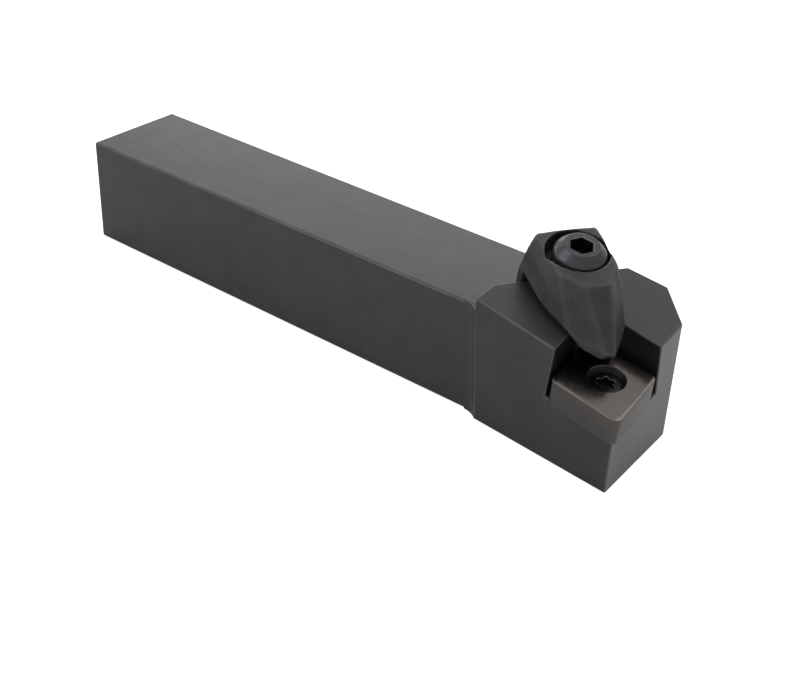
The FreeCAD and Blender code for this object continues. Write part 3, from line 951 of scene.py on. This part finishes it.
@dataclass
class LiftSpring:
    """The compression spring that raises the clamp when its screw is backed out."""

    coil_mm: float = 3.65
    wire_mm: float = 0.35
    low_mm: float = -8.3
    high_mm: float = -5.43
    turns: float = 3.5
    per_turn: int = 36
    across: int = 12
    finish: MetalFinish = SPRING_WIRE

    def build(self) -> bpy.types.Object:
        """Make the wire as a circle carried along a helix.

        Formula: the centre turns evenly about the screw's axis and climbs evenly; the section's
        circle is spanned by the outward direction and the direction across the wire.

        Returns:
            The spring, which stretches from the head's top to the clamp.
        """
        turn = np.linspace(0, 2 * math.pi * self.turns, int(self.turns * self.per_turn) + 1)
        around = np.linspace(0, 2 * math.pi, self.across, endpoint=False)
        low, high = self.low_mm + self.wire_mm, self.high_mm - self.wire_mm
        climb = low + (high - low) * turn / turn[-1]
        outward = np.stack([np.cos(turn), np.sin(turn), 0 * turn], -1)
        rise = (high - low) / turn[-1]
        along = np.stack([-self.coil_mm * np.sin(turn), self.coil_mm * np.cos(turn),
                          rise + 0 * turn], -1)
        along /= np.linalg.norm(along, axis=1)[:, None]
        upward = np.cross(outward, along)
        centre = self.coil_mm * outward + np.stack([0 * turn, 0 * turn, climb], -1)
        section = (np.cos(around)[None, :, None] * outward[:, None, :]
                   + np.sin(around)[None, :, None] * upward[:, None, :])
        rings = SCREW_AXES.out(centre[:, None, :] + self.wire_mm * section)
        spring = solid_from_rings("clamp_lift_spring", rings)
        spring.data.materials.append(self.finish.material())
        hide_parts("lift_spring")
        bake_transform(spring)
        return spring


# Studio

@dataclass(frozen=True)
class Softbox:
    """A square soft light that faces the holder, a little ahead of its middle."""

    name: str
    azimuth: float
    elevation: float
    distance: float
    side: float
    radiance: float
    aim: tuple[float, float, float] = (0.02, 0.0, 0.01)

    def hang(self) -> bpy.types.Object:
        """Make the light.

        Formula: its place is the aim plus the distance along the azimuth, counterclockwise from
        +X, and the elevation; its power is radiance times pi times its area.

        Returns:
            The light.
        """
        data = bpy.data.lights.new(self.name, "AREA")
        data.shape = "SQUARE"
        data.size = self.side
        data.energy = self.radiance * math.pi * self.side ** 2
        a, e = math.radians(self.azimuth), math.radians(self.elevation)
        away = Vector((math.cos(e) * math.cos(a), math.cos(e) * math.sin(a), math.sin(e)))
        made = bpy.data.objects.new(self.name, data)
        made.location = Vector(self.aim) + away * self.distance
        made.rotation_mode = "QUATERNION"
        made.rotation_quaternion = (-away).to_track_quat("-Z", "Y")
        bpy.context.scene.collection.objects.link(made)
        return made


@dataclass
class Studio:
    """A pale floor, soft lights and the camera."""

    camera_place: tuple[float, float, float] = (0.16178, -0.19943, 0.15706)
    camera_right: tuple[float, float, float] = (0.78177, 0.6222, 0.04135)
    camera_down: tuple[float, float, float] = (0.3584, -0.39408, -0.84631)
    camera_ahead: tuple[float, float, float] = (-0.51028, 0.67644, -0.53108)
    lens_mm: float = 59.09
    sensor_mm: float = 36.0
    seen_from: float = 0.01
    seen_to: float = 20.0
    floor_half: float = 3.0
    floor_drop: float = 0.00005
    floor_glow: float = 0.7
    sky_strength: float = 0.5
    sky_seen: float = 1.0
    lights: tuple[Softbox, ...] = (
        Softbox("backdrop", 127.0, 22.0, 0.9, 0.7, 1.27),
        Softbox("backdrop_high", 127.0, 54.0, 0.9, 0.5, 0.12),
        Softbox("overhead", 0.0, 88.0, 0.9, 0.5, 0.7),
        Softbox("key_rear", 62.0, 50.0, 0.8, 0.5, 1.0),
        Softbox("fill_left", -130.0, 35.0, 0.9, 0.6, 1.35),
        Softbox("side_left", 176.0, 8.0, 0.8, 0.4, 1.6),
    )

    def camera(self) -> bpy.types.Object:
        """Place the camera and make it the scene's."""
        data = bpy.data.cameras.new("camera")
        data.lens = self.lens_mm
        data.sensor_width = self.sensor_mm
        data.clip_start = self.seen_from
        data.clip_end = self.seen_to
        made = bpy.data.objects.new("camera", data)
        right, down, ahead = (Vector(v).normalized() for v in
                              (self.camera_right, self.camera_down, self.camera_ahead))
        turn = Matrix((right, -down, -ahead)).transposed().to_4x4()
        made.matrix_world = Matrix.Translation(self.camera_place) @ turn
        bpy.context.scene.collection.objects.link(made)
        bpy.context.scene.camera = made
        return made

    def floor(self) -> bpy.types.Object:
        """Lay the pale floor just under the holder.

        The floor is a white card that shows a little lighter than the light it gives back, as a
        card that is lit from behind does.

        Returns:
            The floor.
        """
        half, low = self.floor_half, -self.floor_drop
        corners = [(-half, -half, low), (half, -half, low), (half, half, low), (-half, half, low)]
        mesh = bpy.data.meshes.new("floor")
        mesh.from_pydata(corners, [], [(0, 1, 2, 3)])
        made = bpy.data.objects.new("floor", mesh)
        bpy.context.scene.collection.objects.link(made)
        card = bpy.data.materials.new("white_card")
        card.use_nodes = True
        tree = card.node_tree
        tree.nodes.clear()
        seen = add_node(tree, "ShaderNodeLightPath").outputs["Is Camera Ray"]
        card_face = add_node(tree, "ShaderNodeBsdfDiffuse", values={"Color": linear("#f8f8f8")})
        share = add_node(tree, "ShaderNodeMath", settings={"operation": "MULTIPLY"},
                         values={1: self.floor_glow}, links={0: seen})
        glow = add_node(tree, "ShaderNodeEmission", links={"Strength": share.outputs[0]})
        both = add_node(tree, "ShaderNodeAddShader",
                        links={0: card_face.outputs[0], 1: glow.outputs[0]})
        add_node(tree, "ShaderNodeOutputMaterial", links={"Surface": both.outputs[0]})
        mesh.materials.append(card)
        return made

    def build(self) -> None:
        """Set up the whole studio."""
        scene = bpy.context.scene
        world = bpy.data.worlds.new("studio")
        world.use_nodes = True
        tree = world.node_tree
        sky = tree.nodes["Background"]
        sky.inputs["Color"].default_value = (1.0, 1.0, 1.0, 1.0)
        seen = add_node(tree, "ShaderNodeLightPath").outputs["Is Camera Ray"]
        strength = add_range(tree, seen, 0.0, 1.0, self.sky_strength, self.sky_seen)
        tree.links.new(strength, sky.inputs["Strength"])
        scene.world = world
        scene.view_settings.view_transform = "Standard"
        self.camera()
        self.floor()
        for light in self.lights:
            light.hang()


def main() -> None:
    """Build the tool holder's pieces in order, then the studio."""
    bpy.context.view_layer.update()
    shim = SeatShim()
    seat = SEAT_AXES.along(shim.hole[0], shim.hole[1], 0.0)
    shim_screw = Screw(
        name="shim_screw_six_lobe", node="shim_screw", body="holder", axes=seat,
        recess=Recess.SIX_LOBE, profile=SHIM_SCREW_HEAD,
        recess_mm=1.66, recess_depth_mm=1.5, recess_turn=0.0, finish=SHIM_SCREW_SHADE_AND_GLINT,
        thread_mm=2.48, thread_from=-3.4, thread_to=-12.0, pitch_mm=0.8)
    clamp_screw = Screw(
        name="clamp_screw_hexagon", node="clamp_screw", body="screw", axes=SCREW_AXES,
        recess=Recess.HEXAGON, profile=CLAMP_SCREW_HEAD,
        recess_mm=2.2, recess_depth_mm=3.2, recess_turn=37.0, rim_mm=0.25, rim_flare=1.12,
        thread_mm=2.98, thread_from=-7.0, thread_to=-19.9, pitch_mm=1.0)
    for part in (HolderBody(), shim, shim_screw, TopClamp(), clamp_screw, LiftSpring()):
        piece = part.build()
        LOG.info("%s: %d vertices, %d faces", piece.name, len(piece.data.vertices),
                 len(piece.data.polygons))
    Studio().build()


if __name__ == "__main__":
    logging.basicConfig(level=logging.INFO, format="%(message)s")
    main()
